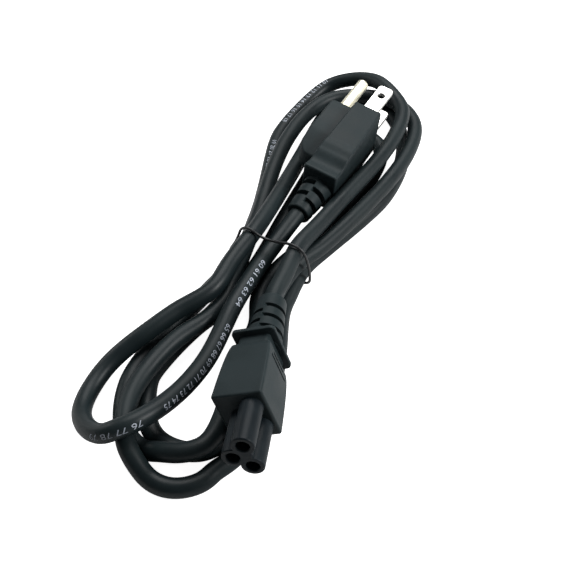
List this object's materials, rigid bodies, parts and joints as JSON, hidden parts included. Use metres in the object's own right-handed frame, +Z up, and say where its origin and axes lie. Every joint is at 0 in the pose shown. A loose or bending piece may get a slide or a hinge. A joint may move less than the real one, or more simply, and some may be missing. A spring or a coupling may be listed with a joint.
{
  "type": "power cord",
  "caption": "Moulded power cord folded in a tied hank, with a three-pin plug on one end and a small three-socket connector on the other.",
  "frame": {"origin": "centre of the bounding box's bottom, on the floor that the hank lies on", "axes": "+Y along the hank towards the plug, +Z up from the floor, +X to the right of someone who looks along +Y"},
  "size_m": [0.0706, 0.2238, 0.0338],
  "materials": {
    "moulding": "moulded black plastic, slightly satin",
    "insert": "moulded black plastic, satin",
    "cord_jacket": "extruded black jacket with a soft sheen",
    "blade_metal": "nickel-plated strip",
    "pin_metal": "plated brass",
    "contact_metal": "tinned sleeve",
    "tie": "black coated wire"
  },
  "bodies": {
    "root": {"plug_body": "moulding", "blade_line": "blade_metal", "blade_neutral": "blade_metal", "ground_pin": "pin_metal", "connector_body": "moulding", "connector_insert": "insert", "contact_line": "contact_metal", "contact_neutral": "contact_metal", "contact_earth": "contact_metal", "cord": "cord_jacket", "cord_tie": "tie"}
  },
  "joints": []
}
